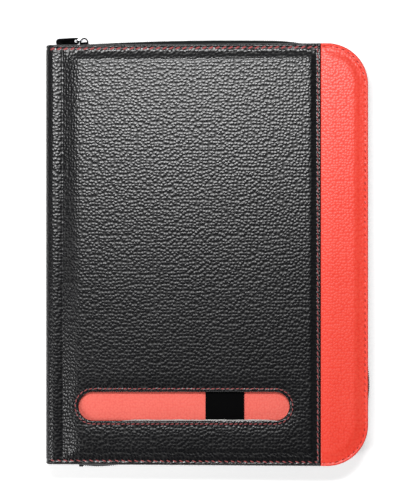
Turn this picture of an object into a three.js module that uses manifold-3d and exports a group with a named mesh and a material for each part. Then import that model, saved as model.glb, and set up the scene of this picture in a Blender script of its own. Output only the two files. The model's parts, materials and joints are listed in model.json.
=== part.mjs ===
// A zip-round A4 conference folder, closed and lying on its back cover.
// Units are millimetres. The origin is the centre of the back cover's outer face.
// X runs from the spine to the fore edge, Y from foot to head, Z up through the folder.

import * as THREE from 'three';
import { mergeVertices } from 'three/addons/utils/BufferGeometryUtils.js';
import Module from 'manifold-3d';

const wasm = await Module();
wasm.setup();

// Driving dimensions

// Covers, seen from the front
const coverWidth = 258;
const spineHeight = 335.6;
const foreHeight = 338.6;
const foreCornerRadius = 33;
const spineCornerRadius = 2.5;

// Build of the covers, from the outside in
const closedThickness = 27;
const backSkinThickness = 1.4;
const frontPanelThickness = 2.4;
const spineSkinThickness = 1.4;
const backBoardThickness = 2.2;
const frontBoardThickness = 1.9;
const spineBoardThickness = 1.2;
const liningThickness = 0.8;
const layerGap = 0.3;
const boardInset = 4.5;

// Spine
const spineShoulderRadius = 4;
const spineToe = 5;
const spineEndMargin = 4;
const hingeGap = 0.3;
const frontBoardSpineMargin = 15.5;
const backBoardSpineMargin = 8;

// Padding of the front panel and of the fore-edge panel
const foreEdgeWidth = 37.8;
const seamGap = 0.3;
const crownHeight = 2.2;
const crownSlope = 5;
const crownMargin = 7.5;
const crownSpineMargin = 13.5;
const crownSeamMargin = 3.2;
const crownCorner = 9;
const foreCrownHeight = 1.3;
const foreCrownSlope = 3.2;
const foreCrownMargin = 4.4;
const foreCrownSeamMargin = 0.8;
const foreCrownCorner = 3.6;
const cushionEdge = 0.2;

// Pen window, its insert and its elastic band
const windowHeight = 23;
const windowSpineMargin = 26.2;
const windowSeamMargin = 25.2;
const windowFootMargin = 48;
const lipThickness = 0.9;
const lipWidth = 4.5;
const windowSlopeMargin = 3;
const insertThickness = 0.6;
const insertClearance = 0.3;
const bandWidth = 31;
const bandThickness = 0.5;
const bandOffset = 32.7;
const bandClearance = 0.2;

// Zip: tape, coil rows and the line that they follow
const tapeInset = 2.9;
const tapeThickness = 0.8;
const tapeStraight = 3;
const rowThickness = 2.2;
const rowHeight = 1.6;
const rowsGap = 2.4;
const zipStepLength = 9;
const headStartMargin = 27.2;
const footEndMargin = 29.8;
const headArcRadius = 2110;
const headArcRise = 2.5535;
const headArcForeMargin = 123.066;
const headArcEndMargin = 73;
const headEaseEndMargin = 25;
const foreBow = 3.5;
const foreBowFootMargin = 65.3;
const foreBowReach = 41;
const footBow = 4.1;
const footBowSpineMargin = 41;
const footBowReach = 45;
const stopLength = 3.2;
const stopThickness = 3.4;
const stopHeight = 7;

// Slider, in its own frame: x along the zip, y outwards, z across it
const sliderSpineMargin = 30.4;
const sliderLength = 7.2;
const sliderHeight = 10;
const plateThickness = 1;
const plateGap = 3;
const rimHeight = 0.75;
const rimWidth = 0.8;
const wedgeLength = 2.6;
const wedgeWidth = 1.8;
const bridgeRise = 3.9;
const bridgeWall = 1.2;
const bridgeWidth = 1.8;

// Pull
const linkRadius = 2.85;
const linkWireRadius = 0.55;
const linkOffset = 0.9;
const linkRise = 1.6;
const tabLength = 19.3;
const tabWidth = 6;
const tabThickness = 1.6;
const tabBevel = 0.9;
const tabBevelDepth = 0.4;
const tabEyeRadius = 1.1;

// Writing pad and its sleeve, inside the back cover
const padSideRoom = 48;
const padEndRoom = 38.6;
const padCentreX = 6;
const padCardThickness = 0.6;
const padSheetsThickness = 5;
const sleeveThickness = 0.7;
const sleeveMargin = 5;
const sleeveFootMargin = 14;
const sleeveMouthY = 95;
const bindingThickness = 0.4;
const bindingReach = 18;

// Pen loop, inside the back cover
const loopSpineMargin = 17;
const loopCentreY = 20;
const loopInnerRadius = 5.5;
const loopThickness = 0.8;
const loopWidth = 24;
const loopFoot = 2.2;

// Pockets, inside the front cover
const pocketSpineMargin = 23;
const pocketForeMargin = 16;
const pocketFootMargin = 12;
const pocketMouthLow = 52;
const pocketMouthHigh = 96;
const pocketThickness = 0.7;
const cardPocketThickness = 0.6;
const cardPocketWidth = 94;
const cardPocketHeight = 87;
const cardPocketStep = 14;
const cardPocketMargin = 14;
const cardPocketFootY = -76;
const cardPocketCount = 3;
const pocketCornerRadius = 4;

// How finely arcs are drawn
const arcSegments = 12;
const pointSpacing = 0.01;

// Levels worked out from the dimensions above

const halfWidth = coverWidth / 2;
const backBoardZ = backSkinThickness + layerGap;
const backLiningZ = backBoardZ + backBoardThickness + layerGap;
const backInsideZ = backLiningZ + liningThickness;
const frontPanelZ = closedThickness - frontPanelThickness;
const frontBoardTopZ = frontPanelZ - layerGap;
const frontBoardZ = frontBoardTopZ - frontBoardThickness;
const frontLiningZ = frontBoardZ - layerGap - liningThickness;
const zipMidZ = closedThickness / 2;
const coverLeftX = -halfWidth + spineToe + hingeGap;

// Places worked out from the covers' edges

const frontBoardLeft = frontBoardSpineMargin - halfWidth;
const backBoardLeft = backBoardSpineMargin - halfWidth;
const seamX = halfWidth - foreEdgeWidth;
const crownLeft = crownSpineMargin - halfWidth;
const windowLeft = windowSpineMargin - halfWidth;
const windowRight = seamX - windowSeamMargin;
const windowWidth = windowRight - windowLeft;
const windowX = (windowLeft + windowRight) / 2;
const windowY = windowFootMargin - foreHeight / 2;
const bandCentreX = windowX + bandOffset;
const headStartX = headStartMargin - halfWidth;
const footEndX = footEndMargin - halfWidth;
const headArcX = halfWidth - headArcForeMargin;
const headArcEndX = halfWidth - headArcEndMargin;
const headEaseEndX = halfWidth - headEaseEndMargin;
const foreBowY = foreBowFootMargin - foreHeight / 2;
const footBowX = footBowSpineMargin - halfWidth;
const sliderX = sliderSpineMargin - halfWidth;
const padWidth = coverWidth - padSideRoom;
const padHeight = Math.min(spineHeight, foreHeight) - padEndRoom;
const loopCentreX = loopSpineMargin - halfWidth;
const pocketLeft = pocketSpineMargin - halfWidth;
const pocketRight = halfWidth - pocketForeMargin;

// Materials

const finish = (color, roughness, metalness = 0) =>
  new THREE.MeshStandardMaterial({ color, roughness, metalness });

const blackSkin = finish(0x17171a, 0.5);
const redSkin = finish(0xe8352a, 0.5);
const board = finish(0x9a8f80, 0.9);
const lining = finish(0x1c1c1f, 0.85);
const elastic = finish(0x0a0a0b, 0.9);
const tapeCloth = finish(0x121214, 0.85);
const coilNylon = finish(0x0e0e10, 0.45);
const chrome = finish(0xd9dadc, 0.08, 1);
const card = finish(0xb7a98f, 0.9);
const paper = finish(0xf4f2ea, 0.85);
const bindingCloth = finish(0x26303c, 0.8);

// Helpers for shapes and solids

function named(name, geometry, material) {
  const mesh = new THREE.Mesh(geometry, material);
  mesh.name = name;
  return mesh;
}

// The same outline as plain points, without any that fall on each other.
function pointed(path, Kind = THREE.Shape) {
  const points = path.getPoints(arcSegments);
  const apart = points.filter((point, i) => point.distanceTo(points.at(i - 1)) > pointSpacing);
  return new Kind(apart);
}

function plainShape(shape) {
  const plain = pointed(shape);
  plain.holes = shape.holes.map((hole) => pointed(hole, THREE.Path));
  return plain;
}

function slab(shape, z, thickness) {
  const geometry = new THREE.ExtrudeGeometry(plainShape(shape), {
    depth: thickness,
    bevelEnabled: false,
  });
  return geometry.translate(0, 0, z);
}

// A padded layer: its top rises to `height` above z and is rounded off over `slope`.
function cushion(shape, z, height, slope) {
  const geometry = new THREE.ExtrudeGeometry(plainShape(shape), {
    depth: cushionEdge,
    bevelEnabled: true,
    bevelThickness: height,
    bevelSize: slope,
    bevelOffset: -slope,
    bevelSegments: 4,
  });
  return geometry.translate(0, 0, z - cushionEdge);
}

function toManifold(geometry) {
  const bare = geometry.clone();
  bare.deleteAttribute('normal');
  bare.deleteAttribute('uv');
  const welded = mergeVertices(bare, 1e-4);
  return new wasm.Manifold(new wasm.Mesh({
    numProp: 3,
    vertProperties: new Float32Array(welded.attributes.position.array),
    triVerts: new Uint32Array(welded.index.array),
  }));
}

function toGeometry(manifold) {
  const mesh = manifold.getMesh();
  const geometry = new THREE.BufferGeometry();
  geometry.setAttribute('position', new THREE.BufferAttribute(mesh.vertProperties, 3));
  geometry.setIndex(new THREE.BufferAttribute(mesh.triVerts, 1));
  geometry.computeVertexNormals();
  return geometry;
}

function joined(...geometries) {
  return toGeometry(geometries.map(toManifold).reduce((sum, next) => sum.add(next)));
}

function cut(geometry, ...tools) {
  return toGeometry(tools.map(toManifold).reduce((rest, tool) => rest.subtract(tool),
    toManifold(geometry)));
}

// A solid skinned over a row of closed sections, each an equal ring of Vector3, and capped.
function skinned(sections) {
  const count = sections[0].length;
  const positions = sections.flat().flatMap((point) => [point.x, point.y, point.z]);
  const index = [];
  for (let row = 0; row < sections.length - 1; row += 1) {
    for (let i = 0; i < count; i += 1) {
      const a = row * count + i;
      const b = row * count + ((i + 1) % count);
      index.push(a, b, b + count, a, b + count, a + count);
    }
  }
  const last = (sections.length - 1) * count;
  for (let i = 1; i < count - 1; i += 1) {
    index.push(0, i + 1, i);
    index.push(last, last + i, last + i + 1);
  }
  const geometry = new THREE.BufferGeometry();
  geometry.setAttribute('position', new THREE.Float32BufferAttribute(positions, 3));
  geometry.setIndex(index);
  geometry.computeVertexNormals();
  return geometry;
}

function roundedRectangle(left, bottom, right, top, radius) {
  const shape = new THREE.Shape();
  shape.moveTo(left + radius, bottom);
  shape.absarc(right - radius, bottom + radius, radius, -Math.PI / 2, 0);
  shape.absarc(right - radius, top - radius, radius, 0, Math.PI / 2);
  shape.absarc(left + radius, top - radius, radius, Math.PI / 2, Math.PI);
  shape.absarc(left + radius, bottom + radius, radius, Math.PI, 1.5 * Math.PI);
  return shape;
}

// Half the folder's height at x: the covers are a little taller at the fore edge.
function halfHeightAt(x) {
  const along = (x + halfWidth) / (coverWidth - foreCornerRadius);
  return THREE.MathUtils.lerp(spineHeight, foreHeight, THREE.MathUtils.clamp(along, 0, 1)) / 2;
}

// The cover's outline from `left` to the fore edge, `inset` inside the real edge.
function coverShape(left, inset, leftRadius = spineCornerRadius) {
  const right = halfWidth - inset;
  const radius = foreCornerRadius - inset;
  const cornerX = right - radius;
  const topLeft = halfHeightAt(left + leftRadius) - inset;
  const topRight = halfHeightAt(halfWidth) - inset;
  const shape = new THREE.Shape();
  shape.moveTo(left + leftRadius, -topLeft);
  shape.lineTo(cornerX, -topRight);
  shape.absarc(cornerX, -topRight + radius, radius, -Math.PI / 2, 0);
  shape.absarc(cornerX, topRight - radius, radius, 0, Math.PI / 2);
  shape.lineTo(left + leftRadius, topLeft);
  shape.absarc(left + leftRadius, topLeft - leftRadius, leftRadius, Math.PI / 2, Math.PI);
  shape.absarc(left + leftRadius, leftRadius - topLeft, leftRadius, Math.PI, 1.5 * Math.PI);
  return shape;
}

// The part of a cover between the spine and the seam.
function innerCoverShape(left, right, inset, radius) {
  const shape = new THREE.Shape();
  const topLeft = halfHeightAt(left) - inset;
  const topRight = halfHeightAt(right) - inset;
  shape.moveTo(left + radius, -topLeft);
  shape.lineTo(right, -topRight);
  shape.lineTo(right, topRight);
  shape.lineTo(left + radius, topLeft);
  shape.absarc(left + radius, topLeft - radius, radius, Math.PI / 2, Math.PI);
  shape.absarc(left + radius, radius - topLeft, radius, Math.PI, 1.5 * Math.PI);
  return shape;
}

// The pen window's pill, grown by `grow` on every side, as a shape or a hole.
function windowPill(grow, Kind = THREE.Shape) {
  const radius = windowHeight / 2 + grow;
  const straight = windowWidth / 2 - windowHeight / 2;
  const pill = new Kind();
  pill.absarc(windowX + straight, windowY, radius, -Math.PI / 2, Math.PI / 2);
  pill.absarc(windowX - straight, windowY, radius, Math.PI / 2, 1.5 * Math.PI);
  pill.closePath();
  return pill;
}

// The front cover's black padded panel, with the window and the rebate behind its lips
function frontPanel() {
  const right = seamX - seamGap / 2;
  const lipZ = closedThickness - lipThickness;
  const crownTop = Math.min(halfHeightAt(crownLeft), halfHeightAt(right)) - crownMargin;
  const rebated = innerCoverShape(coverLeftX, right, 0, spineCornerRadius);
  rebated.holes.push(windowPill(lipWidth, THREE.Path));
  const lips = innerCoverShape(coverLeftX, right, 0, spineCornerRadius);
  lips.holes.push(windowPill(0, THREE.Path));
  const crown = roundedRectangle(crownLeft, -crownTop, right - crownSeamMargin, crownTop, crownCorner);
  const crownGap = windowPill(lipWidth + windowSlopeMargin);
  const geometry = joined(
    slab(rebated, frontPanelZ, frontPanelThickness - lipThickness),
    slab(lips, lipZ, lipThickness),
    cut(
      cushion(crown, closedThickness, crownHeight, crownSlope),
      slab(crownGap, frontPanelZ - 1, 2 * frontPanelThickness + crownHeight),
    ),
  );
  return named('front_panel', geometry, blackSkin);
}

// The padded part of the fore edge, level along its ends
function foreCrownShape(left) {
  const cornerX = halfWidth - foreCornerRadius;
  const radius = foreCornerRadius - foreCrownMargin;
  const top = foreHeight / 2 - foreCrownMargin;
  const inner = foreCrownCorner;
  const shape = new THREE.Shape();
  shape.absarc(cornerX, radius - top, radius, -Math.PI / 2, 0);
  shape.absarc(cornerX, top - radius, radius, 0, Math.PI / 2);
  shape.absarc(left + inner, top - inner, inner, Math.PI / 2, Math.PI);
  shape.absarc(left + inner, inner - top, inner, Math.PI, 1.5 * Math.PI);
  return shape;
}

// The red padded panel along the fore edge
function foreEdgePanel() {
  const left = seamX + seamGap / 2;
  const flat = slab(coverShape(left, 0, 0.2), frontPanelZ, frontPanelThickness);
  const crown = cushion(foreCrownShape(left + foreCrownSeamMargin),
    closedThickness, foreCrownHeight, foreCrownSlope);
  return named('fore_edge_panel', joined(flat, crown), redSkin);
}

function windowInsert() {
  const geometry = slab(windowPill(lipWidth - insertClearance), frontPanelZ, insertThickness);
  return named('window_insert', geometry, redSkin);
}

// The elastic band lies on the insert and runs under both lips of the window.
function penBand() {
  const reach = windowHeight / 2 + lipWidth - insertClearance;
  const shape = roundedRectangle(
    bandCentreX - bandWidth / 2, windowY - reach,
    bandCentreX + bandWidth / 2, windowY + reach, 0.2,
  );
  const z = frontPanelZ + insertThickness + bandClearance;
  return named('pen_band', slab(shape, z, bandThickness), elastic);
}

function backSkin() {
  const geometry = slab(coverShape(coverLeftX, 0), 0, backSkinThickness);
  return named('back_skin', geometry, blackSkin);
}

function boards() {
  const front = slab(coverShape(frontBoardLeft, boardInset), frontBoardZ, frontBoardThickness);
  const back = slab(coverShape(backBoardLeft, boardInset), backBoardZ, backBoardThickness);
  return [named('front_board', front, board), named('back_board', back, board)];
}

function linings() {
  const front = slab(coverShape(coverLeftX, boardInset), frontLiningZ, liningThickness);
  const back = slab(coverShape(coverLeftX, boardInset), backLiningZ, liningThickness);
  return [named('front_lining', front, lining), named('back_lining', back, lining)];
}

// The spine's skin wraps round both shoulders and ends in a toe on each cover.
function spineSkin() {
  const outer = spineShoulderRadius;
  const inner = spineShoulderRadius - spineSkinThickness;
  const left = -halfWidth;
  const top = closedThickness;
  const shape = new THREE.Shape();
  shape.moveTo(left + spineToe, 0);
  shape.lineTo(left + spineToe, spineSkinThickness);
  shape.absarc(left + outer, outer, inner, 1.5 * Math.PI, Math.PI, true);
  shape.absarc(left + outer, top - outer, inner, Math.PI, Math.PI / 2, true);
  shape.lineTo(left + spineToe, top - spineSkinThickness);
  shape.lineTo(left + spineToe, top);
  shape.absarc(left + outer, top - outer, outer, Math.PI / 2, Math.PI);
  shape.absarc(left + outer, outer, outer, Math.PI, 1.5 * Math.PI);
  return named('spine_skin', standing(shape, spineHeight), blackSkin);
}

// Turns a profile drawn in X and Z into a solid of the given length along Y.
function standing(shape, length) {
  const geometry = new THREE.ExtrudeGeometry(plainShape(shape), {
    depth: length,
    bevelEnabled: false,
  });
  geometry.translate(0, 0, -length / 2);
  geometry.rotateX(Math.PI / 2);
  return geometry;
}

function spineLayers() {
  const length = spineHeight - 2 * spineEndMargin;
  const low = backInsideZ;
  const high = frontLiningZ;
  const boardX = -halfWidth + spineSkinThickness + layerGap;
  const liningX = boardX + spineBoardThickness + layerGap;
  const layer = (x, thickness) => {
    const geometry = new THREE.BoxGeometry(thickness, length, high - low);
    return geometry.translate(x + thickness / 2, 0, (low + high) / 2);
  };
  return [
    named('spine_board', layer(boardX, spineBoardThickness), board),
    named('spine_lining', layer(liningX, liningThickness), lining),
  ];
}

// The zip's line

// How far the head run stands out of the cover's edge: an arc of a large circle, so that the
// slider can follow it.
function headRiseAt(x) {
  return headArcRise - headArcRadius + Math.sqrt(headArcRadius ** 2 - (x - headArcX) ** 2);
}

function swell(distance, height, reach) {
  const along = THREE.MathUtils.clamp(Math.abs(distance) / reach, 0, 1);
  return height * Math.cos((along * Math.PI) / 2) ** 2;
}

// How far the coil stands out of the line where the tape is sewn in.
function bowAt(point) {
  if (point.y > 0) {
    const fade = 1 - THREE.MathUtils.smoothstep(point.x, headArcEndX, headEaseEndX);
    return (tapeInset + headRiseAt(Math.min(point.x, headEaseEndX))) * fade;
  }
  return swell(point.y - foreBowY, foreBow, foreBowReach) * (point.x > seamX ? 1 : 0)
    + swell(point.x - footBowX, footBow, footBowReach) * (point.y < foreBowY - foreBowReach ? 1 : 0);
}

// Stations along the tape: where it is sewn in, and the outward direction there.
function zipStations() {
  const edge = new THREE.Path();
  const right = halfWidth - tapeInset;
  const radius = foreCornerRadius - tapeInset;
  const top = halfHeightAt(halfWidth) - tapeInset;
  edge.moveTo(headStartX, halfHeightAt(headStartX) - tapeInset);
  edge.lineTo(right - radius, top);
  edge.absarc(right - radius, top - radius, radius, Math.PI / 2, 0, true);
  edge.lineTo(right, radius - top);
  edge.absarc(right - radius, radius - top, radius, 0, -Math.PI / 2, true);
  edge.lineTo(footEndX, tapeInset - halfHeightAt(footEndX));
  const steps = Math.round(edge.getLength() / zipStepLength);
  const stations = [];
  for (let i = 0; i <= steps; i += 1) {
    const foot = edge.getPointAt(i / steps);
    const along = edge.getTangentAt(i / steps);
    const outward = new THREE.Vector2(-along.y, along.x);
    stations.push({ foot, outward, bow: bowAt(foot) });
  }
  return stations;
}

const stations = zipStations();

// One section point of a band that runs along the zip.
function zipPoint(station, bow, offset, z) {
  const out = bow + offset;
  return new THREE.Vector3(
    station.foot.x + station.outward.x * out,
    station.foot.y + station.outward.y * out,
    z,
  );
}

// The tape leaves its seam, leans out to the coil and ends straight at it.
function tape(name, seamZ, side) {
  const coilZ = zipMidZ + side * (rowsGap / 2 + rowHeight + layerGap);
  const kneeZ = coilZ + side * tapeStraight;
  const half = tapeThickness / 2;
  const sections = stations.map((station) => {
    const at = (bow, offset, z) => zipPoint(station, bow, offset, z);
    const ring = [
      at(0, half, seamZ),
      at(station.bow, half, kneeZ),
      at(station.bow, half, coilZ),
      at(station.bow, -half, coilZ),
      at(station.bow, -half, kneeZ),
      at(0, -half, seamZ),
    ];
    return side > 0 ? ring.reverse() : ring;
  });
  return named(name, skinned(sections), tapeCloth);
}

function coilRow(name, side) {
  const nearZ = zipMidZ + (side * rowsGap) / 2;
  const farZ = nearZ + side * rowHeight;
  const half = rowThickness / 2;
  const sections = stations.map((station) => {
    const ring = [
      zipPoint(station, station.bow, half, farZ),
      zipPoint(station, station.bow, half, nearZ),
      zipPoint(station, station.bow, -half, nearZ),
      zipPoint(station, station.bow, -half, farZ),
    ];
    return side > 0 ? ring.reverse() : ring;
  });
  return named(name, skinned(sections), coilNylon);
}

// The stop that joins the two rows at the foot
function zipEndStop() {
  const end = stations[stations.length - 1];
  const geometry = new THREE.BoxGeometry(stopLength, stopThickness, stopHeight);
  const stop = named('zip_end_stop', geometry, coilNylon);
  stop.position.copy(zipPoint(end, end.bow, 0, zipMidZ));
  stop.position.x -= stopLength / 2 + layerGap;
  return stop;
}

// Slider

// A box given by its lowest and highest corners
function block(low, high) {
  const size = high.map((value, i) => value - low[i]);
  const geometry = new THREE.BoxGeometry(...size);
  return geometry.translate(...high.map((value, i) => (value + low[i]) / 2));
}

// The bridge is an arch over the outer plate, for the ring of the pull.
function sliderBridge() {
  const base = plateGap / 2 + plateThickness - 0.3;
  const arch = new THREE.Shape();
  arch.absellipse(0, base, sliderLength / 2, bridgeRise + 0.3, 0, Math.PI, false, 0);
  const opening = new THREE.Path();
  opening.absellipse(0, base + 0.1, sliderLength / 2 - bridgeWall,
    bridgeRise + 0.2 - bridgeWall, 0, Math.PI, false, 0);
  arch.closePath();
  opening.closePath();
  arch.holes.push(opening);
  return slab(arch, -bridgeWidth / 2, bridgeWidth);
}

function sliderBody() {
  const x = sliderLength / 2;
  const z = sliderHeight / 2;
  const near = plateGap / 2;
  const far = near + plateThickness;
  const rim = near - rimHeight;
  const join = 0.2;
  const geometry = joined(
    block([-x, near, -z], [x, far, z]),
    block([-x, -far, -z], [x, -near, z]),
    block([-x, rim, -z], [x, near + join, rimWidth - z]),
    block([-x, -near - join, -z], [x, -rim, rimWidth - z]),
    block([-x, -near - join, -wedgeWidth / 2], [wedgeLength - x, near + join, wedgeWidth / 2]),
    sliderBridge(),
  );
  return named('slider_body', geometry, chrome);
}

// The ring goes through the bridge, and the pull hangs on its far side.
function pullLink() {
  const geometry = new THREE.TorusGeometry(linkRadius, linkWireRadius, 10, 28);
  geometry.rotateX(Math.PI / 2);
  const link = named('pull_link', geometry, chrome);
  link.position.set(-linkOffset - linkRadius, plateGap / 2 + plateThickness + linkRise, 0);
  return link;
}

function pullTab() {
  const radius = tabWidth / 2;
  const shape = new THREE.Shape();
  shape.absarc(0, 0, radius, -Math.PI / 2, Math.PI / 2);
  shape.absarc(tabWidth - tabLength, 0, radius, Math.PI / 2, 1.5 * Math.PI);
  const plate = new THREE.ExtrudeGeometry(plainShape(shape), {
    depth: tabThickness - 2 * tabBevelDepth,
    bevelEnabled: true,
    bevelThickness: tabBevelDepth,
    bevelSize: tabBevel,
    bevelOffset: -tabBevel,
    bevelSegments: 2,
  });
  plate.translate(0, 0, tabBevelDepth - tabThickness / 2);
  const drill = new THREE.CylinderGeometry(tabEyeRadius, tabEyeRadius, 2 * tabThickness, 20);
  drill.rotateX(Math.PI / 2);
  const tab = named('pull_tab', cut(plate, drill), chrome);
  tab.position.set(-linkOffset - 2 * linkRadius, plateGap / 2 + plateThickness + linkRise, 0);
  return tab;
}

// The slider's group sits on the zip's line, turned to follow it.
function sliderGroup() {
  const group = new THREE.Group();
  const edgeSlope = (foreHeight - spineHeight) / 2 / (coverWidth - foreCornerRadius);
  group.position.set(sliderX, halfHeightAt(sliderX) + headRiseAt(sliderX), zipMidZ);
  group.rotation.z = Math.asin((headArcX - sliderX) / headArcRadius) + Math.atan(edgeSlope);
  group.add(sliderBody(), pullLink(), pullTab());
  return group;
}

// Inside the back cover: pad, sleeve and pen loop

function writingPad() {
  const left = padCentreX - padWidth / 2;
  const right = padCentreX + padWidth / 2;
  const head = padHeight / 2;
  const sheet = roundedRectangle(left, -head, right, head, 1);
  const cardZ = backInsideZ + layerGap;
  const sleeveZ = cardZ + padCardThickness + layerGap;
  const sheetsZ = sleeveZ + sleeveThickness + layerGap;
  const topZ = sheetsZ + padSheetsThickness;
  const sleeve = roundedRectangle(
    left - sleeveMargin, sleeveFootMargin - halfHeightAt(left),
    right + sleeveMargin, sleeveMouthY, 2,
  );
  const binding = new THREE.Shape();
  binding.moveTo(head + layerGap, cardZ);
  binding.lineTo(head + layerGap + bindingThickness, cardZ);
  binding.lineTo(head + layerGap + bindingThickness, topZ + layerGap + bindingThickness);
  binding.lineTo(head - bindingReach, topZ + layerGap + bindingThickness);
  binding.lineTo(head - bindingReach, topZ + layerGap);
  binding.lineTo(head + layerGap, topZ + layerGap);
  const strip = new THREE.ExtrudeGeometry(binding, { depth: padWidth, bevelEnabled: false });
  strip.rotateY(Math.PI / 2);
  strip.rotateX(Math.PI / 2);
  strip.translate(left, 0, 0);
  return [
    named('pad_card', slab(sheet, cardZ, padCardThickness), card),
    named('pad_sleeve', slab(sleeve, sleeveZ, sleeveThickness), lining),
    named('pad_sheets', slab(sheet, sheetsZ, padSheetsThickness), paper),
    named('pad_binding', strip, bindingCloth),
  ];
}

function penLoop() {
  const inner = loopInnerRadius;
  const outer = loopInnerRadius + loopThickness;
  const z = backInsideZ + layerGap;
  const shape = new THREE.Shape();
  shape.moveTo(loopCentreX + outer + loopFoot, z);
  shape.lineTo(loopCentreX + outer + loopFoot, z + loopThickness);
  shape.absarc(loopCentreX, z + loopThickness, outer, 0, Math.PI);
  shape.lineTo(loopCentreX - outer - loopFoot, z + loopThickness);
  shape.lineTo(loopCentreX - outer - loopFoot, z);
  shape.lineTo(loopCentreX - inner, z);
  shape.absarc(loopCentreX, z + loopThickness, inner, Math.PI, 0, true);
  shape.lineTo(loopCentreX + inner, z);
  const geometry = standing(shape, loopWidth).translate(0, loopCentreY, 0);
  return named('pen_loop', geometry, elastic);
}

// Inside the front cover: a document pocket with a slanted mouth, and card pockets on it

function documentPocket() {
  const foot = pocketFootMargin - halfHeightAt(pocketLeft);
  const shape = new THREE.Shape();
  shape.moveTo(pocketLeft, foot);
  shape.lineTo(pocketRight, foot);
  shape.lineTo(pocketRight, pocketMouthLow);
  shape.lineTo(pocketLeft, pocketMouthHigh);
  const z = frontLiningZ - layerGap - pocketThickness;
  return named('document_pocket', slab(shape, z, pocketThickness), lining);
}

function cardPockets() {
  const pockets = [];
  for (let i = 0; i < cardPocketCount; i += 1) {
    const left = pocketLeft + cardPocketMargin;
    const top = cardPocketFootY + cardPocketHeight - i * cardPocketStep;
    const shape = roundedRectangle(left, cardPocketFootY, left + cardPocketWidth, top,
      pocketCornerRadius);
    const z = frontLiningZ - layerGap - pocketThickness
      - (i + 1) * (layerGap + cardPocketThickness);
    const geometry = slab(shape, z, cardPocketThickness);
    pockets.push(named(`card_pocket_${i + 1}`, geometry, lining));
  }
  return pockets;
}

const frontSeamZ = frontBoardTopZ;
const backSeamZ = backBoardZ;

const folder = new THREE.Group();
folder.add(
  backSkin(),
  ...boards(),
  ...linings(),
  spineSkin(),
  ...spineLayers(),
  frontPanel(),
  foreEdgePanel(),
  windowInsert(),
  penBand(),
  tape('front_tape', frontSeamZ, 1),
  coilRow('front_teeth', 1),
  tape('back_tape', backSeamZ, -1),
  coilRow('back_teeth', -1),
  zipEndStop(),
  sliderGroup(),
  ...writingPad(),
  penLoop(),
  documentPocket(),
  ...cardPockets(),
);

export default folder;
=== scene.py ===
# %% [markdown]
# A zip-round conference folder, dressed over its imported model. The imported model holds the pieces
# at their real size and place. This script gives them their looks: padded skins, thread, zip
# teeth and finishes. It starts by loading the model. The dressed folder has to stay inside it.

# %% Load the imported model
import json
import math

import bmesh
import bpy
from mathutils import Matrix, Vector


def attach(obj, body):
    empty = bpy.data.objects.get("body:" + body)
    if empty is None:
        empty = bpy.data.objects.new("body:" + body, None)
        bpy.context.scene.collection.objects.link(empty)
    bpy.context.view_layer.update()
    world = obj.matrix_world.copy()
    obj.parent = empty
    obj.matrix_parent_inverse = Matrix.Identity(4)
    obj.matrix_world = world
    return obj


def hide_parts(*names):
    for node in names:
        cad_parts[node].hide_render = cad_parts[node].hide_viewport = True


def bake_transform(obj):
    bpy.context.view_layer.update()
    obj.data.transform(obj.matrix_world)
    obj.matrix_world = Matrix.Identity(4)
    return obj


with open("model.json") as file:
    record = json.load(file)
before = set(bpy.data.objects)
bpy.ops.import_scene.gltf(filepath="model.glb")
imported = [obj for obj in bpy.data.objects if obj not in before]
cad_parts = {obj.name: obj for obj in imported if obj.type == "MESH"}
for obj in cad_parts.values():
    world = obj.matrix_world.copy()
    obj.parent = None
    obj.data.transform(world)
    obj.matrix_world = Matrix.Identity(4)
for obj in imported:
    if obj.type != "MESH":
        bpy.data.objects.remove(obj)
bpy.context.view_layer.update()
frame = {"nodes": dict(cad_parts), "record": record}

# %% [markdown]
# Sizes are in millimetres, as a maker of folders writes them, and become metres where a mesh is
# made. They repeat the model's own sizes where a skin has to land on a board or a tape. The
# covers are a little taller at the fore edge than at the spine, as the photo shows.

# %% Sizes of the covers
MM = 0.001
HALF_WIDTH = 129.0
SPINE_HALF_HEIGHT = 167.8
FORE_HALF_HEIGHT = 169.3
CORNER_RADIUS = 33.0
CORNER_X = HALF_WIDTH - CORNER_RADIUS
THICKNESS = 27.0
PANEL_THICKNESS = 2.4
SKIN_THICKNESS = 1.3
SHOULDER_RADIUS = 5.0
SHOULDER_X = SHOULDER_RADIUS - HALF_WIDTH
SEAM_X = 91.2
ZIP_MID_Z = THICKNESS / 2
print("covers:", 2 * HALF_WIDTH, "by", 2 * FORE_HALF_HEIGHT, "mm")


def half_height(x):
    """Half the folder's height at x, with the round corners of the fore edge."""
    along = min(max((x + HALF_WIDTH) / (CORNER_X + HALF_WIDTH), 0.0), 1.0)
    straight = SPINE_HALF_HEIGHT + (FORE_HALF_HEIGHT - SPINE_HALF_HEIGHT) * along
    if x <= CORNER_X:
        return straight
    across = min((x - CORNER_X) / CORNER_RADIUS, 1.0)
    return straight - CORNER_RADIUS * (1 - math.sqrt(1 - across * across))


def edge_distance(x, y):
    """How far a point lies inside the outer edge. The spine has no edge."""
    centre_y = FORE_HALF_HEIGHT - CORNER_RADIUS
    if x > CORNER_X and abs(y) > centre_y:
        return CORNER_RADIUS - math.hypot(x - CORNER_X, abs(y) - centre_y)
    return min(HALF_WIDTH - x, half_height(min(x, CORNER_X)) - abs(y))


def smooth(value):
    """0 below 0, 1 above 1, and an even curve between."""
    value = min(max(value, 0.0), 1.0)
    return value * value * (3 - 2 * value)


def bump(distance, reach):
    """A round hill of height 1 at distance 0."""
    return math.exp(-((distance / reach) ** 2))


# %% [markdown]
# A padded cover isn't flat. The skin is turned in at the edge, pinched by the row of stitches and
# pushed out by the foam behind it, and it sinks into a crease beside the spine. Each of these is
# one term of a height, in millimetres over the flat cover, so that each can be set by itself.

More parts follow.
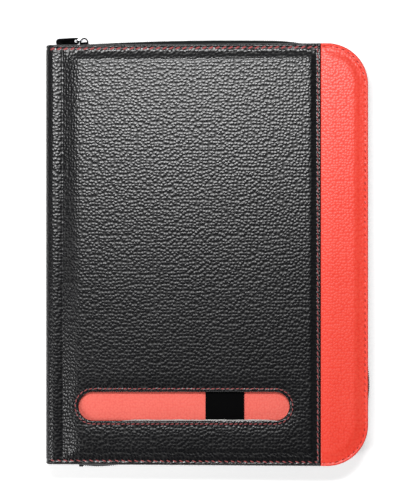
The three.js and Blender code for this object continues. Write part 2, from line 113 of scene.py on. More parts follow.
# %% The height of the padded skin
EDGE_ROLL = 1.3
STITCH_INSET = 3.2
RED_INSET = 2.5
STITCH_PITCH = 5.4
CROWN_HEIGHT = 2.1
CROWN_START = 4.6
CROWN_SLOPE = 8.5
CREASE_X = -115.6
CREASE_DEPTH = 0.7
CREASE_REACH = 1.9
CREASE_SHOULDER = 14.0
ROLL_X = -122.0
ROLL_HEIGHT = 0.6
ROLL_REACH = 4.2
RED_CROWN_HEIGHT = 1.35
WINDOW_X = -18.4
WINDOW_Y = -121.3
WINDOW_WIDTH = 168.8
WINDOW_HEIGHT = 23.0
WINDOW_STITCH = 3.2


def window_distance(x, y):
    """How far a point lies outside the pen window's pill."""
    straight = (WINDOW_WIDTH - WINDOW_HEIGHT) / 2
    along = max(abs(x - WINDOW_X) - straight, 0.0)
    return math.hypot(along, y - WINDOW_Y) - WINDOW_HEIGHT / 2


def edge_fall(distance):
    """The drop of a turned edge, a quarter round."""
    if distance >= EDGE_ROLL:
        return 0.0
    inward = 1 - max(distance, 0.0) / EDGE_ROLL
    return EDGE_ROLL * (1 - math.sqrt(1 - inward * inward))


def pinch(distance, along, depth):
    """The valley of a stitch row, deeper at each hole."""
    wave = 0.72 + 0.28 * math.cos(2 * math.pi * along / STITCH_PITCH)
    pucker = 0.32 * depth * bump(distance - STITCH_INSET - 2.6, 1.7)
    return depth * bump(distance - STITCH_INSET, 1.1) * wave + pucker * (1 - wave)


def black_height(x, y):
    """The black panel's height over the flat cover."""
    edge = edge_distance(x, y)
    seam = SEAM_X - x
    window = window_distance(x, y)
    crown = (smooth((edge - CROWN_START) / CROWN_SLOPE)
             * smooth((x - CREASE_X) / CREASE_SHOULDER)
             * (0.25 + 0.75 * smooth((seam - 3.0) / 6.5))
             * (0.85 + 0.15 * smooth((window - 3.4) / 9.0)))
    height = CROWN_HEIGHT * crown
    height += ROLL_HEIGHT * bump(x - ROLL_X, ROLL_REACH)
    height -= CREASE_DEPTH * math.exp(-abs(x - CREASE_X) / CREASE_REACH) * smooth((edge - 2.0) / 5.0)
    height -= 0.35 * bump(seam - 3.6, 0.8)
    height += 0.35 * bump(seam - 1.4, 1.1)
    height -= 0.35 * bump(window - WINDOW_STITCH, 1.0)
    height += 0.25 * bump(window - 1.2, 1.0)
    height -= 0.5 * (1 - smooth(window / 0.8))
    height -= pinch(edge, x, 0.55)
    return height - edge_fall(edge)


def red_height(x, y):
    """The red panel's height over the flat cover."""
    edge = edge_distance(x, y)
    along = y if abs(y) < FORE_HALF_HEIGHT - CORNER_RADIUS else x * 1.2 + y
    height = RED_CROWN_HEIGHT * smooth((edge - 4.4) / 8.0) * (0.45 + 0.55 * smooth((x - SEAM_X) / 8.0))
    height += 0.3 * bump(edge - 1.0, 0.9)
    height -= pinch(edge + STITCH_INSET - RED_INSET, along, 0.75)
    ripple = math.sin(0.9 * y) + math.sin(0.37 * y + 1.3)
    height += 0.05 * ripple * bump(edge - 8.5, 4.0)
    return height - edge_fall(edge)


print("padding, black and red, mm:", round(black_height(0, 0), 2), round(red_height(110, 0), 2))

# %% [markdown]
# A skin is made as two sheets of points, one outside and one inside, joined round the rim into one
# closed body. The columns follow the folder's cross-section and the rows its height, with close
# spacing where the skin bends: at the edges, the crease, the seam and the window.

# %% From two sheets of points to a closed skin
def spread(stops):
    """Values from (start, step) pairs: each stretch is cut into even steps."""
    values = []
    for (start, step), (end, _) in zip(stops, stops[1:]):
        count = max(1, round(abs(end - start) / step))
        values += [start + (end - start) * i / count for i in range(count)]
    return values + [stops[-1][0]]


def new_piece(name, mesh):
    piece = bpy.data.objects.new(name, mesh)
    bpy.context.scene.collection.objects.link(piece)
    return piece


def closed_skin(name, outer, inner):
    """Joins two equal sheets of points, rows of columns, into one closed body."""
    columns, rows = len(outer), len(outer[0])
    points = [p for sheet in (outer, inner) for column in sheet for p in column]
    half = columns * rows

    def at(sheet, i, j):
        return sheet * half + i * rows + j

    faces = []
    for i in range(columns - 1):
        for j in range(rows - 1):
            quad = [at(0, i, j), at(0, i + 1, j), at(0, i + 1, j + 1), at(0, i, j + 1)]
            faces.append(quad)
            faces.append([index + half for index in reversed(quad)])
    rim = [(i, 0) for i in range(columns)]
    rim += [(columns - 1, j) for j in range(1, rows)]
    rim += [(i, rows - 1) for i in range(columns - 2, -1, -1)]
    rim += [(0, j) for j in range(rows - 2, 0, -1)]
    for (i, j), (k, m) in zip(rim, rim[1:] + rim[:1]):
        faces.append([at(0, k, m), at(0, i, j), at(1, i, j), at(1, k, m)])
    mesh = bpy.data.meshes.new(name)
    mesh.from_pydata([Vector(p) * MM for p in points], [], faces)
    work = bmesh.new()
    work.from_mesh(mesh)
    bmesh.ops.recalc_face_normals(work, faces=work.faces)
    work.to_mesh(mesh)
    work.free()
    mesh.shade_smooth()
    return new_piece(name, mesh)


def rows_of(x, values):
    """The y of each row at x: the rows keep their distance from the edges."""
    ratio = half_height(x) / FORE_HALF_HEIGHT
    return [value * ratio for value in values]


FINE_BEYOND_Y = 156
WINDOW_ROWS_END_Y = -103
ROWS = spread([(-FORE_HALF_HEIGHT, 0.7), (-FINE_BEYOND_Y, 1.5), (WINDOW_ROWS_END_Y, 4.0),
               (FINE_BEYOND_Y, 0.7), (FORE_HALF_HEIGHT, 1)])
print("rows of points:", len(ROWS))

# %% [markdown]
# The front skin runs from the middle of the spine, round its shoulder and across the front to the
# seam. It is one piece on the real folder, so it bends between the spine and the front cover when
# the folder opens. The window is cut out of it with a boolean, because its round ends cross the
# rows of points.


# %% The wrap round the spine's shoulder
def wrap_stations():
    """(x, z, normal x, normal z) from the spine's middle to the top of its shoulder."""
    stations = [(-HALF_WIDTH, z, -1.0, 0.0)
                for z in spread([(ZIP_MID_Z + 0.1, 2.0), (THICKNESS - SHOULDER_RADIUS, 1)])]
    for step in range(1, 9):
        angle = math.pi - step / 8 * math.pi / 2
        normal = (math.cos(angle), math.sin(angle))
        stations.append((SHOULDER_X + SHOULDER_RADIUS * normal[0],
                         THICKNESS - SHOULDER_RADIUS + SHOULDER_RADIUS * normal[1], *normal))
    return stations


def skin_point(station, y, height):
    x, z, normal_x, normal_z = station
    return (x + normal_x * height, y, z + normal_z * height)


def front_skin():
    xs = spread([(SHOULDER_X, 0.7), (-105, 3.0), (80, 0.7), (SEAM_X - 0.15, 1)])[1:]
    stations = wrap_stations() + [(x, THICKNESS, 0.0, 1.0) for x in xs]
    outer, inner = [], []
    for station in stations:
        x = station[0]
        wrapped = station[3] < 1.0
        column = rows_of(x, ROWS)
        heights = [-edge_fall(edge_distance(x, y)) - pinch(edge_distance(x, y), x, 0.4)
                   if wrapped else black_height(x, y) for y in column]
        outer.append([skin_point(station, y, h) for y, h in zip(column, heights)])
        depth = SKIN_THICKNESS if wrapped else PANEL_THICKNESS - 0.02
        inner.append([skin_point(station, y, -depth) for y in column])
    return closed_skin("front_cover_skin", outer, inner)


PILL_STEPS = 24
CUTTER_REACH = 6


def pill_line(outset):
    """Points round the window's pill, set outwards by `outset`."""
    straight = (WINDOW_WIDTH - WINDOW_HEIGHT) / 2
    radius = WINDOW_HEIGHT / 2 + outset
    points = []
    for end, start in ((1, -90), (-1, 90)):
        for step in range(PILL_STEPS + 1):
            angle = math.radians(start + step * 180 / PILL_STEPS)
            points.append((WINDOW_X + end * straight + radius * math.cos(angle),
                           WINDOW_Y + radius * math.sin(angle)))
    return points


def window_cutter():
    """A prism of the window's pill, through the front skin."""
    cutter = bmesh.new()
    low, high = [[cutter.verts.new(Vector((x, y, z)) * MM) for x, y in pill_line(0)]
                 for z in (THICKNESS - CUTTER_REACH, THICKNESS + CUTTER_REACH)]
    for i in range(len(low)):
        k = (i + 1) % len(low)
        cutter.faces.new((low[i], low[k], high[k], high[i]))
    cutter.faces.new(list(reversed(low)))
    cutter.faces.new(high)
    mesh = bpy.data.meshes.new("window_cutter")
    cutter.to_mesh(mesh)
    cutter.free()
    return new_piece("window_cutter", mesh)


def work_in_modifiers(piece):
    """Gives the piece the mesh that its modifiers make."""
    evaluated = piece.evaluated_get(bpy.context.evaluated_depsgraph_get())
    mesh = bpy.data.meshes.new_from_object(evaluated)
    piece.modifiers.clear()
    piece.data = mesh
    mesh.name = piece.name


front = front_skin()
cutter = window_cutter()
window_cut = front.modifiers.new("window", "BOOLEAN")
window_cut.operation = "DIFFERENCE"
window_cut.solver = "EXACT"
window_cut.object = cutter
work_in_modifiers(front)
bpy.data.objects.remove(cutter)
front.data.shade_smooth()
print("front skin:", len(front.data.polygons), "faces")

# %% [markdown]
# The back skin is the same kind of sheet, from the middle of the spine to the fore edge. It lies on
# the table, so it has no padding outside: only its rim is turned in. The red panel starts just
# under the seam's folded edge.


# %% The back skin and the red panel
def corner_columns(start, step):
    """Columns up to the fore edge, evenly spaced round the corners' arcs."""
    turns = 26
    arc = [CORNER_X + CORNER_RADIUS * math.sin(i / turns * math.pi / 2) for i in range(1, turns + 1)]
    return spread([(start, step), (CORNER_X, 1)]) + arc


def back_skin():
    wrap = [(x, THICKNESS - z, nx, -nz) for x, z, nx, nz in wrap_stations()]
    flat = [(x, 0.0, 0.0, -1.0) for x in corner_columns(SHOULDER_X, 4.0)[1:]]
    outer, inner = [], []
    for station in wrap + flat:
        column = rows_of(station[0], ROWS)
        heights = [-edge_fall(edge_distance(station[0], y)) for y in column]
        outer.append([skin_point(station, y, h) for y, h in zip(column, heights)])
        inner.append([skin_point(station, y, -SKIN_THICKNESS - 0.1) for y in column])
    return closed_skin("back_cover_skin", outer, inner)


def red_panel():
    rows = spread([(-FORE_HALF_HEIGHT, 0.8), (-FINE_BEYOND_Y, 2.0), (FINE_BEYOND_Y, 0.8),
                   (FORE_HALF_HEIGHT, 1)])
    outer, inner = [], []
    for x in corner_columns(SEAM_X - 0.1, 0.8):
        column = rows_of(x, rows)
        outer.append([(x, y, THICKNESS + red_height(x, y)) for y in column])
        inner.append([(x, y, THICKNESS - PANEL_THICKNESS + 0.02) for y in column])
    return closed_skin("fore_edge_skin", outer, inner)


back = back_skin()
red = red_panel()
print("back skin:", len(back.data.polygons), "faces; red panel:", len(red.data.polygons))

# %% [markdown]
# The zip follows a line of its own: sewn in a little inside the covers' edge, it bows out along
# the head, at the fore edge and at the foot. The line is worked out the way the model does, from
# a rounded rectangle and three swells, so that the teeth land on the tapes.

# %% The zip's line
TAPE_INSET = 2.9
HEAD_START_X = -101.8
FOOT_END_X = -99.2
HEAD_ARC_RADIUS = 2110.0
HEAD_APEX = (20.0, 171.3)
HEAD_ARC_END_X = 56.0
HEAD_EASE_END_X = 104.0
FORE_SWELL = (3.5, -104.0, 41.0)
FOOT_SWELL = (4.1, -88.0, 45.0)


def swell(distance, height, reach):
    return height * math.cos(min(abs(distance) / reach, 1.0) * math.pi / 2) ** 2


def straight_half_height(x):
    return half_height(min(x, CORNER_X))


def zip_bow(x, y):
    """How far the coil stands out of the tape's seam."""
    if y > 0:
        fade = 1 - smooth((x - HEAD_ARC_END_X) / (HEAD_EASE_END_X - HEAD_ARC_END_X))
        across = min(x, HEAD_EASE_END_X) - HEAD_APEX[0]
        arc = HEAD_APEX[1] - HEAD_ARC_RADIUS + math.sqrt(HEAD_ARC_RADIUS ** 2 - across ** 2)
        return (arc - (straight_half_height(x) - TAPE_INSET)) * fade
    height, centre, reach = FORE_SWELL
    bow = swell(y - centre, height, reach) if x > SEAM_X else 0.0
    if y < centre - reach:
        bow += swell(x - FOOT_SWELL[1], FOOT_SWELL[0], FOOT_SWELL[2])
    return bow


def seam_line():
    """Points and outward directions along the tape's seam, from the head's start to the foot."""
    radius = CORNER_RADIUS - TAPE_INSET
    top = FORE_HALF_HEIGHT - TAPE_INSET
    line = []
    for x in spread([(HEAD_START_X, 2.0), (CORNER_X, 1)]):
        line.append((x, straight_half_height(x) - TAPE_INSET, 0.0, 1.0))
    for turn in range(1, 25):
        angle = math.pi / 2 - turn / 24 * math.pi / 2
        nx, ny = math.cos(angle), math.sin(angle)
        line.append((CORNER_X + radius * nx, top - radius + radius * ny, nx, ny))
    for y in spread([(top - radius - 2, 2.0), (radius - top + 2, 1)]):
        line.append((CORNER_X + radius, y, 1.0, 0.0))
    for turn in range(0, 25):
        angle = -turn / 24 * math.pi / 2
        nx, ny = math.cos(angle), math.sin(angle)
        line.append((CORNER_X + radius * nx, radius - top + radius * ny, nx, ny))
    for x in spread([(CORNER_X - 2, 2.0), (FOOT_END_X, 1)]):
        line.append((x, TAPE_INSET - straight_half_height(x), 0.0, -1.0))
    return line


SEAM_LINE = seam_line()


def coil_points(z, out=0.0):
    """The coil's centre line at height z, set outwards by `out`."""
    return [(x + nx * (zip_bow(x, y) + out), y + ny * (zip_bow(x, y) + out), z)
            for x, y, nx, ny in SEAM_LINE]


print("zip line:", len(SEAM_LINE), "points")

# %% [markdown]
# Thread and zip teeth both repeat along a line, so one Geometry Nodes tree makes them all. It puts
# a small rounded body at even steps along a curve, turns it to follow the line, and slants it.
# A stitch is long and thin along its line. A tooth is thin along the zip and long across it.


# %% A tree that repeats a rounded body along a line
def row_tree():
    tree = bpy.data.node_groups.new("row_along_line", "GeometryNodeTree")
    face = tree.interface
    face.new_socket("Line", in_out="INPUT", socket_type="NodeSocketGeometry")
    for name, kind in (("Pitch", "Float"), ("Size", "Vector"), ("Slant", "Float"), ("Finish", "Material")):
        face.new_socket(name, in_out="INPUT", socket_type="NodeSocket" + kind)
    face.new_socket("Row", in_out="OUTPUT", socket_type="NodeSocketGeometry")
    node = tree.nodes.new
    link = tree.links.new
    start = node("NodeGroupInput")
    points = node("GeometryNodeCurveToPoints")
    points.mode = "LENGTH"
    body = node("GeometryNodeMeshUVSphere")
    body.inputs["Segments"].default_value = 8
    body.inputs["Rings"].default_value = 5
    body.inputs["Radius"].default_value = 0.5
    follow = node("FunctionNodeAlignRotationToVector")
    follow.axis = "X"
    follow.pivot_axis = "Z"
    turn = node("FunctionNodeAxisAngleToRotation")
    turn.inputs["Axis"].default_value = (0, 0, 1)
    both = node("FunctionNodeRotateRotation")
    both.rotation_space = "LOCAL"
    place = node("GeometryNodeInstanceOnPoints")
    real = node("GeometryNodeRealizeInstances")
    shade = node("GeometryNodeSetShadeSmooth")
    finish = node("GeometryNodeSetMaterial")
    end = node("NodeGroupOutput")
    link(start.outputs["Line"], points.inputs["Curve"])
    link(start.outputs["Pitch"], points.inputs["Length"])
    link(points.outputs["Tangent"], follow.inputs["Vector"])
    link(start.outputs["Slant"], turn.inputs["Angle"])
    link(follow.outputs["Rotation"], both.inputs["Rotation"])
    link(turn.outputs["Rotation"], both.inputs["Rotate By"])
    link(points.outputs["Points"], place.inputs["Points"])
    link(body.outputs["Mesh"], place.inputs["Instance"])
    link(both.outputs["Rotation"], place.inputs["Rotation"])
    link(start.outputs["Size"], place.inputs["Scale"])
    link(place.outputs["Instances"], real.inputs["Geometry"])
    link(real.outputs["Geometry"], shade.inputs["Geometry"])
    link(shade.outputs["Geometry"], finish.inputs["Geometry"])
    link(start.outputs["Finish"], finish.inputs["Material"])
    link(finish.outputs["Geometry"], end.inputs["Row"])
    return tree


ROW_TREE = row_tree()
print("row tree:", len(ROW_TREE.nodes), "nodes")


def row_along(name, points, pitch, size, slant, material):
    """A row of bodies along points in millimetres, as one plain mesh."""
    line = bpy.data.curves.new(name + "_line", "CURVE")
    line.dimensions = "3D"
    spline = line.splines.new("POLY")
    spline.points.add(len(points) - 1)
    for point, place in zip(spline.points, points):
        point.co = (*(Vector(place) * MM), 1.0)
    piece = bpy.data.objects.new(name, line)
    bpy.context.scene.collection.objects.link(piece)
    row = piece.modifiers.new("row", "NODES")
    row.node_group = ROW_TREE
    given = {"Pitch": pitch * MM, "Size": tuple(value * MM for value in size),
             "Slant": math.radians(slant), "Finish": material}
    for item in ROW_TREE.interface.items_tree:
        if item.in_out == "INPUT" and item.name in given:
            row[item.identifier] = given[item.name]
    evaluated = piece.evaluated_get(bpy.context.evaluated_depsgraph_get())
    mesh = bpy.data.meshes.new_from_object(evaluated)
    mesh.name = name
    bpy.data.objects.remove(piece)
    made = new_piece(name, mesh)
    print(name + ":", len(mesh.polygons), "faces")
    return made


# %% [markdown]
# Finishes come next. A small class wraps a node socket, so that a pattern reads as a sum: adding
# or multiplying two wrapped values adds the Math node that does it. Colours are mixed by Mix
# nodes, because a Math node would turn a colour grey.


# %% Wrapped sockets and a material maker
class Value:
    """A node's output that can be added, subtracted and multiplied."""

    def __init__(self, shader, socket):
        self.shader = shader
        self.socket = socket

    def _math(self, operation, first, second):
        return self.shader.node("ShaderNodeMath", {"operation": operation}, {0: first, 1: second})

    def __add__(self, other):
        return self._math("ADD", self, other)

    def __radd__(self, other):
        return self._math("ADD", other, self)

    def __sub__(self, other):
        return self._math("SUBTRACT", self, other)

    def __rsub__(self, other):
        return self._math("SUBTRACT", other, self)

    def __mul__(self, other):
        return self._math("MULTIPLY", self, other)

    def __rmul__(self, other):
        return self._math("MULTIPLY", other, self)


class Finish:
    """A material under construction, with one principled shader."""

    def __init__(self, name, **constants):
        self.material = bpy.data.materials.new(name)
        self.material.use_nodes = True
        self.tree = self.material.node_tree
        self.shader = self.tree.nodes["Principled BSDF"]
        for socket, value in constants.items():
            self.shader.inputs[socket.replace("_", " ")].default_value = value
        self.place = self.node("ShaderNodeTexCoord", {}, {}, "Object")

    def node(self, kind, settings, inputs, output=0):
        """Adds a node: its settings first, then the values or links of its sockets."""
        node = self.tree.nodes.new(kind)
        for name, value in settings.items():
            setattr(node, name, value)
        for name, value in inputs.items():
            if isinstance(value, Value):
                self.tree.links.new(value.socket, node.inputs[name])
            else:
                node.inputs[name].default_value = value
        return Value(self, node.outputs[output])

    def noise(self, scale, detail=2.0):
        return self.node("ShaderNodeTexNoise", {},
                         {"Vector": self.place, "Scale": scale, "Detail": detail}, "Fac")

    def between(self, value, low, high):
        """0 at low, 1 at high, and an even curve between."""
        return self.node("ShaderNodeMapRange", {"interpolation_type": "SMOOTHSTEP"},
                         {"Value": value, "From Min": low, "From Max": high})

    def mix(self, factor, first, second):
        """A mix of two colours. The Mix node's colour sockets are its inputs 6 and 7, output 2."""
        return self.node("ShaderNodeMix", {"data_type": "RGBA"}, {0: factor, 6: first, 7: second}, 2)

    def feed(self, **values):
        for socket, value in values.items():
            self.tree.links.new(value.socket, self.shader.inputs[socket.replace("_", " ")])

    def relief(self, height, distance):
        sockets = {"Height": height, "Distance": distance}
        self.feed(Normal=self.node("ShaderNodeBump", {}, sockets, "Normal"))


# %% [markdown]
# Imitation leather is pressed with a pebble grain: rounded cells some 2.5 mm across with sunken
# lines between them, and finer wrinkles on top. Cells from a Voronoi pattern, pushed about by
# noise so that they don't look like a honeycomb, give that. The pattern is laid over the skin from
# above, with the height added to the width, so that it runs on round the spine. The red skin has
# the same grain, but pressed more softly, and its colour shifts a little between two reds.


# %% Leather finishes
def leather(name, low, high, cell, depth, rough, specular):
    skin = Finish(name, Specular_IOR_Level=specular)
    axes = [skin.node("ShaderNodeSeparateXYZ", {}, {"Vector": skin.place}, axis) for axis in "XYZ"]
    flat = skin.node("ShaderNodeCombineXYZ", {}, {"X": axes[0] + axes[2], "Y": axes[1]})
    wander = skin.node("ShaderNodeTexNoise", {}, {"Vector": flat, "Scale": 200.0, "Detail": 1.0}, "Color")
    pushed = skin.node("ShaderNodeVectorMath", {"operation": "MULTIPLY_ADD"},
                       {0: wander, 1: (cell * 0.25,) * 3, 2: flat})
    cells = skin.node("ShaderNodeTexVoronoi", {"voronoi_dimensions": "2D", "feature": "F1"},
                      {"Vector": pushed, "Scale": 1 / cell, "Randomness": 0.75}, "Distance")
    pebble = 1 - skin.between(cells, 0.0, 0.95)
    wrinkle = skin.noise(700.0, 1.0)
    patches = skin.noise(38.0, 3.0)
    skin.relief(pebble + wrinkle * 0.05, depth)
    tone = skin.between(pebble * 0.6 + patches * 0.4, 0.25, 0.8)
    skin.feed(Base_Color=skin.mix(tone, (*low, 1), (*high, 1)),
              Roughness=rough + (1 - pebble) * 0.2 + patches * 0.04)
    return skin.material


BLACK_LEATHER = leather("black_leather", (0.0025, 0.0025, 0.0028), (0.006, 0.006, 0.0072),
                        cell=0.0026, depth=0.00023, rough=0.2, specular=0.55)
RED_LEATHER = leather("red_leather", (0.9, 0.044, 0.022), (0.96, 0.078, 0.048),
                      cell=0.0022, depth=0.00014, rough=0.3, specular=0.5)
INSERT_LEATHER = leather("insert_leather", (0.9, 0.13, 0.098), (0.95, 0.17, 0.13),
                         cell=0.002, depth=0.00012, rough=0.33, specular=0.45)

# %% [markdown]
# The woven finishes, the thread, the nylon of the zip, the metal and the paper goods are simpler.
# Weaves are two crossed waves, paper and board are fine noise, and the chrome has only the faint
# unevenness of a plated casting.

# %% Cloth, thread, nylon, metal, board and paper
def woven(name, colour, pitch, depth, rough):
    cloth = Finish(name, Specular_IOR_Level=0.05)
    waves = []
    for direction in ("X", "Y"):
        waves.append(cloth.node("ShaderNodeTexWave", {"bands_direction": direction},
                                {"Vector": cloth.place, "Scale": 0.31 / pitch, "Distortion": 0.4}, "Fac"))
    weave = waves[0] * 0.5 + waves[1] * 0.5
    cloth.relief(weave + cloth.noise(900.0) * 0.4, depth)
    dark = tuple(value * 0.55 for value in colour)
    cloth.feed(Base_Color=cloth.mix(weave, (*dark, 1), (*colour, 1)),
               Roughness=rough - weave * 0.08)
    return cloth.material


def grained(name, low, high, scale, rough, depth=0.00005, uneven=0.1, **constants):
    stuff = Finish(name, **constants)
    grain = stuff.noise(scale, 4.0)
    if depth > 0:
        stuff.relief(grain, depth)
    stuff.feed(Base_Color=stuff.mix(grain, (*low, 1), (*high, 1)), Roughness=rough + grain * uneven)
    return stuff.material


LINING = woven("lining_cloth", (0.022, 0.022, 0.025), 0.0007, 0.00012, 0.85)
ELASTIC = woven("elastic_band", (0.0022, 0.0022, 0.0024), 0.0009, 0.00012, 0.95)
TAPE = woven("zip_tape", (0.02, 0.022, 0.022), 0.0008, 0.00015, 0.8)
BINDING = woven("binding_cloth", (0.03, 0.05, 0.085), 0.0006, 0.0001, 0.8)
NYLON = grained("coil_nylon", (0.008, 0.008, 0.009), (0.016, 0.016, 0.018), 700.0, 0.34)
THREAD_PINK = grained("thread_on_black", (0.2, 0.025, 0.03), (0.55, 0.13, 0.13), 420.0, 0.6)
THREAD_RED = grained("thread_on_red", (0.2, 0.004, 0.005), (0.42, 0.012, 0.012), 420.0, 0.6)
CHROME = grained("chrome_plate", (0.72, 0.73, 0.75), (0.82, 0.83, 0.85), 160.0, 0.01, 0, 0.02, Metallic=1.0)
BOARD = grained("grey_board", (0.32, 0.28, 0.23), (0.5, 0.46, 0.4), 500.0, 0.85)
CARD = grained("pad_card_stock", (0.42, 0.34, 0.25), (0.55, 0.46, 0.36), 450.0, 0.8)
PAPER = grained("writing_paper", (0.82, 0.81, 0.76), (0.9, 0.89, 0.85), 300.0, 0.75)
# The pale finish of the window's lower lip: partly the backing's own colour, partly a painted highlight.
RAW_EDGE_AND_HIGHLIGHT = grained("raw_edge_and_highlight", (0.62, 0.6, 0.58), (0.8, 0.79, 0.76), 800.0, 0.7)
print("finishes:", len(bpy.data.materials))

# %% [markdown]
# Now the thread. The folder is sewn in red: round the whole edge, down the seam between black and
# red, and round the window. On the black skin each stitch lies slanted in its pinched hole; on the
# red skin the thread shows as small dark dots. A stitch is placed a little under the skin's
# height, so that its lower half is sunk in.


# %% Lines of stitches
def along_edge(inset, start_x, end_x, step=1.5):
    """Points inside the head edge, from start_x to end_x, with the corner where it is reached."""
    radius = CORNER_RADIUS - inset
    centre_y = FORE_HALF_HEIGHT - CORNER_RADIUS
    points = [(x, half_height(x) - inset) for x in spread([(start_x, step), (min(end_x, CORNER_X), 1)])]
    if end_x > CORNER_X:
        points += [(CORNER_X + radius * math.sin(turn / 30 * math.pi / 2),
                    centre_y + radius * math.cos(turn / 30 * math.pi / 2)) for turn in range(1, 31)]
    return points


def mirrored(points):
    return [(x, -y) for x, y in points]


def on_skin(points, height_of, lift):
    return [(x, y, THICKNESS + height_of(x, y) + lift) for x, y in points]


HEAD_BLACK = along_edge(STITCH_INSET, -123.5, 87.5)
FORE_REACH = FORE_HALF_HEIGHT - CORNER_RADIUS
FORE_EDGE = [(HALF_WIDTH - RED_INSET, y) for y in spread([(FORE_REACH, 1.5), (-FORE_REACH, 1)])]
RED_ROUND = along_edge(RED_INSET, 93.5, 200.0) + FORE_EDGE[1:-1]
RED_ROUND += list(reversed(mirrored(along_edge(RED_INSET, 93.5, 200.0))))
SEAM_ROW = [(SEAM_X - 2.6, y) for y in spread([(-163.0, 1.5), (163.0, 1)])]
BACK_ROUND = along_edge(RED_INSET, -120.0, 200.0, 4.0) + FORE_EDGE[1:-1:3]
BACK_ROUND += list(reversed(mirrored(along_edge(RED_INSET, -120.0, 200.0, 4.0))))
WINDOW_ROUND = pill_line(2.6) + pill_line(2.6)[:1]
# Each row: its line, the skin's height, lift, pitch, stitch size, slant and thread
FRONT_ROWS = {
    "stitches_head": (HEAD_BLACK, black_height, 0.1, 5.2, (4.7, 1.7, 1.1), 24, THREAD_PINK),
    "stitches_foot": (mirrored(HEAD_BLACK), black_height, 0.05, 5.1, (3.8, 1.0, 0.9), -20, THREAD_PINK),
    "stitches_seam": (SEAM_ROW, black_height, 0.05, 4.6, (4.2, 0.95, 0.8), 12, THREAD_PINK),
    "stitches_window": (WINDOW_ROUND, black_height, 0.05, 3.9, (3.4, 0.85, 0.7), 10, THREAD_PINK),
    "stitches_fore_edge": (RED_ROUND, red_height, -0.1, 5.2, (3.2, 0.85, 0.7), 10, THREAD_RED),
}

stitches = []
for name, (line, height_of, lift, pitch, size, slant, thread) in FRONT_ROWS.items():
    stitches.append(row_along(name, on_skin(line, height_of, lift), pitch, size, slant, thread))
back_line = [(x, y, 0.35) for x, y in BACK_ROUND]
back_stitches = row_along("stitches_back", back_line, 5.2, (2.9, 0.95, 0.6), 20, THREAD_PINK)

# %% [markdown]
# The zip's coil is a row of nylon loops on each tape. Each loop is a flat rounded body that stands
# across the line. The two rows reach to the middle of the gap and are set half a step apart, so
# that they mesh the way a closed zip does.

# %% The zip's teeth
TOOTH_PITCH = 1.5
FRONT_TEETH_Z = 14.95
BACK_TEETH_Z = 12.05
TOOTH = (0.95, 2.2, 3.2)
front_coil = row_along("front_coil", coil_points(FRONT_TEETH_Z, 0.2), TOOTH_PITCH, TOOTH, 0, NYLON)
back_coil_line = coil_points(BACK_TEETH_Z, 0.2)
back_coil_line[0] = (back_coil_line[0][0] + TOOTH_PITCH / 2, *back_coil_line[0][1:])
back_coil = row_along("back_coil", back_coil_line, TOOTH_PITCH, TOOTH, 0, NYLON)

# %% [markdown]
# Along the window's lower lip the skin's cut edge shows as a thin pale line. The pale colour is partly the
# leather's backing, which is lighter than its face, and partly a painted highlight where light catches this
# lip, so the strip runs along the lower lip only. It is a narrow strip, tucked against the lip.


# %% The pale cut edge of the lower lip, with a painted highlight
LIP_START_X = -68.0
LIP_END_X = 56.0


def lip_edge_and_highlight():
    low = WINDOW_Y - WINDOW_HEIGHT / 2
    outer, inner = [], []
    for x in spread([(LIP_START_X, 3.0), (LIP_END_X, 1)]):
        # The fade towards the ends and the wavy width shape the painted highlight along the lip.
        fade = smooth((x - LIP_START_X) / 12.0) * smooth((LIP_END_X - x) / 10.0)
        wave = 0.12 * math.sin(x * 0.21) + 0.08 * math.sin(x * 0.53 + 1.0)
        reach = 0.15 + (0.55 + wave) * fade
        outer.append([(x, low - 0.4, THICKNESS - 0.55), (x, low + reach, THICKNESS - 0.7)])
        inner.append([(x, low - 0.4, THICKNESS - 1.2), (x, low + reach, THICKNESS - 1.2)])
    return closed_skin("window_edge_and_highlight", outer, inner)


# A pale strip along the lower lip only, where light catches the edge: partly painted highlight.
lip = lip_edge_and_highlight()
lip.data.materials.append(RAW_EDGE_AND_HIGHLIGHT)
print("raw edge:", len(lip.data.polygons), "faces")

# %% [markdown]
# The new pieces on the covers are tied to the body that they belong to, and they take the place of
# the plain pieces that they dress. The front and back skins are left where they were made, not tied
# to a body.

# %% Tie the pieces to their bodies
for skin, finish in ((front, BLACK_LEATHER), (back, BLACK_LEATHER), (red, RED_LEATHER)):
    skin.data.materials.clear()
    skin.data.materials.append(finish)

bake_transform(front)
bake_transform(back)
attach(red, "front_cover")
for piece in stitches + [front_coil, lip]:
    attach(piece, "front_cover")
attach(back_coil, "back_cover")
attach(back_stitches, "back_cover")

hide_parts("front_panel", "spine_skin")
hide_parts("back_skin")
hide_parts("fore_edge_panel")
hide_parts("front_teeth")
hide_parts("back_teeth")
print("tied:", len(stitches) + 7, "pieces")

# %% [markdown]
# The pieces that are shown as they were modelled get a finish each, by their material slot. The
# hidden ones inside get theirs too, because the folder opens.

# %% Finishes of the modelled pieces
FINISHES = {
    "board": BOARD, "lining": LINING, "elastic": ELASTIC, "tape": TAPE, "coil": NYLON,
    "chrome": CHROME, "card": CARD, "paper": PAPER, "binding": BINDING,
    "black_skin": BLACK_LEATHER, "red_skin": INSERT_LEATHER,
}
for part in frame["record"]["subparts"]:
    node = frame["nodes"][part["node"]]
    if node.hide_render:
        continue
    node.data.materials.clear()
    node.data.materials.append(FINISHES[part["material_slot"]])
print("finishes given:", sum(not node.hide_render for node in frame["nodes"].values()), "pieces")

# %% [markdown]
# The folder lies on a white table and is seen from straight above. The surroundings are white at
# the sides and dark overhead, so that the flat of the black skin stays dark. A soft lamp close
# over the head catches the grain, strongest near the head and hardly at the foot. A second lamp
# on the left draws a sheen along the spine's roll, and a long weak one lights the foot. The table
# glows only for rays from the camera and for mirrored and clear ones, so that it looks white
# without lighting the folder, and it still takes the folder's shadow.

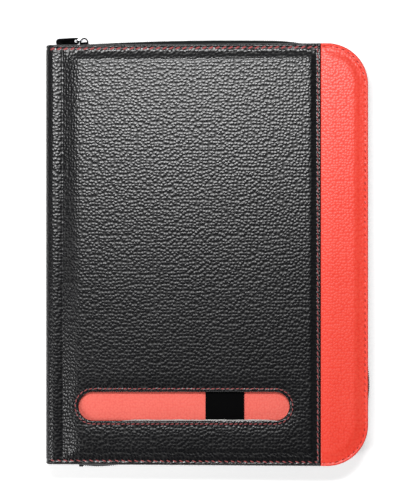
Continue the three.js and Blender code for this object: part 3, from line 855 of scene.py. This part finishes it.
# %% Table, lamps and surroundings
def table():
    mesh = bpy.data.meshes.new("table_top")
    reach = 3.0
    corners = [(-reach, -reach, 0), (reach, -reach, 0), (reach, reach, 0), (-reach, reach, 0)]
    mesh.from_pydata(corners, [], [(0, 1, 2, 3)])
    top = new_piece("table_top", mesh)
    finish = Finish("table_white", Base_Color=(0.92, 0.92, 0.92, 1.0), Emission_Strength=0.5)
    camera_ray, glossy_ray, transmission_ray = [
        finish.node("ShaderNodeLightPath", {}, {}, ray)
        for ray in ("Is Camera Ray", "Is Glossy Ray", "Is Transmission Ray")]
    seen = camera_ray + glossy_ray + transmission_ray
    finish.feed(Roughness=finish.noise(20.0) * 0.05 + 0.8,
                Emission_Color=finish.mix(seen, (0, 0, 0, 1), (1, 1, 1, 1)))
    mesh.materials.append(finish.material)
    return top


def lamp(name, place, target, size, power):
    light = bpy.data.lights.new(name, "AREA")
    light.shape = "RECTANGLE"
    light.size, light.size_y = size
    light.energy = power
    holder = bpy.data.objects.new(name, light)
    holder.location = place
    holder.rotation_euler = (Vector(target) - Vector(place)).to_track_quat("-Z", "Y").to_euler()
    bpy.context.scene.collection.objects.link(holder)
    return holder


def surroundings(bright, dark, axis, narrow, wide):
    """White surroundings that turn dark about `axis`: past the cosine `narrow` all is dark."""
    world = bpy.data.worlds.new("studio")
    world.use_nodes = True
    tree = world.node_tree
    direction = tree.nodes.new("ShaderNodeTexCoord")
    toward = tree.nodes.new("ShaderNodeVectorMath")
    toward.operation = "DOT_PRODUCT"
    toward.inputs[1].default_value = Vector(axis).normalized()
    ramp = tree.nodes.new("ShaderNodeMapRange")
    ramp.interpolation_type = "SMOOTHSTEP"
    for name, value in (("From Min", wide), ("From Max", narrow), ("To Min", bright), ("To Max", dark)):
        ramp.inputs[name].default_value = value
    tree.links.new(direction.outputs["Generated"], toward.inputs[0])
    tree.links.new(toward.outputs["Value"], ramp.inputs["Value"])
    tree.links.new(ramp.outputs["Result"], tree.nodes["Background"].inputs["Strength"])
    tree.nodes["Background"].inputs["Color"].default_value = (1, 1, 1, 1)
    bpy.context.scene.world = world


table()
lamp("lamp_head", (-0.03, 0.34, 0.9), (0, 0.05, 0), (0.5, 0.14), 7.0)
lamp("lamp_left", (-0.62, -0.42, 0.62), (-0.12, -0.12, 0.02), (0.2, 0.4), 3.2)
lamp("lamp_foot", (0.1, -1.0, 0.35), (0, -0.1, 0), (1.4, 0.3), 3.0)
surroundings(0.25, 0.0, (0.0, -0.15, 1.0), 0.8, 0.5)

# %% [markdown]
# The camera looks straight down from 2.4 m, so that the sides hardly show, and its frame is 0.4 m
# high, which puts the folder where the photo has it.

# %% Camera
camera_data = bpy.data.cameras.new("photo_camera")
camera_data.sensor_fit = "VERTICAL"
camera_data.sensor_height = 24.0
camera_data.lens = 144.0  # mm, six times the sensor's height
camera = bpy.data.objects.new("photo_camera", camera_data)
camera.location = (-0.0016, 0.0037, 2.427)
bpy.context.scene.collection.objects.link(camera)
bpy.context.scene.camera = camera
bpy.context.scene.view_settings.view_transform = "Standard"
print("camera height:", round(camera.location.z, 3), "m")
